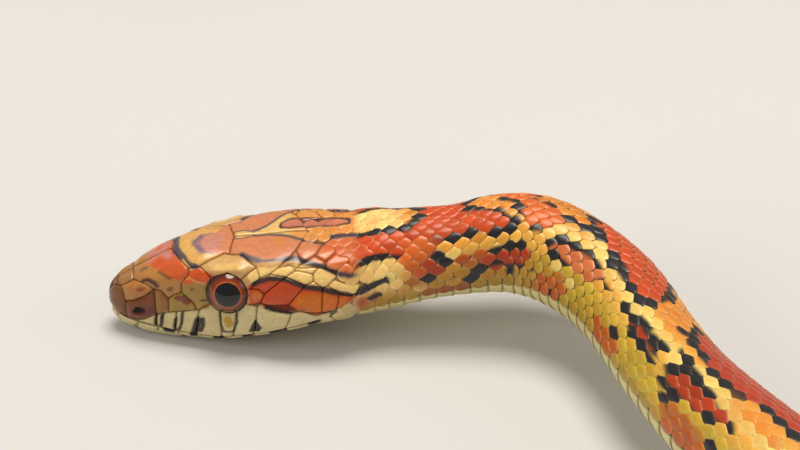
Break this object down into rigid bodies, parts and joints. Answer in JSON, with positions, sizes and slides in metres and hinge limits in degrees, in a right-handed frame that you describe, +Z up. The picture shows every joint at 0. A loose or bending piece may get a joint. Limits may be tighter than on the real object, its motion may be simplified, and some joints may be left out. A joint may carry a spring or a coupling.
{
  "type": "corn snake model",
  "caption": "Still, life-size model of a young corn snake lying in loose bends with its chin and belly on the floor and its neck raised and kinked.",
  "frame": {"origin": "centre of the bounding box, on the floor plane that the chin and belly lie on", "axes": "+Z up; the snout points along -X; +Y is the side away from the snake's left flank at the head"},
  "size_m": [0.3428, 0.2652, 0.0169],
  "materials": {
    "scales": "smooth glossy scales, orange-yellow ground with red black-edged saddles",
    "pale_scales": "glossy cream belly and lip scales with black marks",
    "eye": "clear wet dome over an orange-brown iris and a round black pupil"
  },
  "bodies": {
    "root": {"eye_left": "eye", "eye_right": "eye", "head": "scales", "lower_jaw": "pale_scales", "neck": "scales", "trunk_01": "scales", "trunk_02": "scales", "trunk_03": "scales", "trunk_04": "scales", "trunk_05": "scales", "trunk_06": "scales", "trunk_07": "scales", "trunk_08": "scales", "trunk_09": "scales", "trunk_10": "scales", "trunk_11": "scales", "trunk_12": "scales", "trunk_13": "scales", "trunk_14": "scales", "trunk_15": "scales", "trunk_16": "scales", "tail_1": "scales", "tail_2": "scales", "tail_3": "scales"}
  },
  "joints": []
}
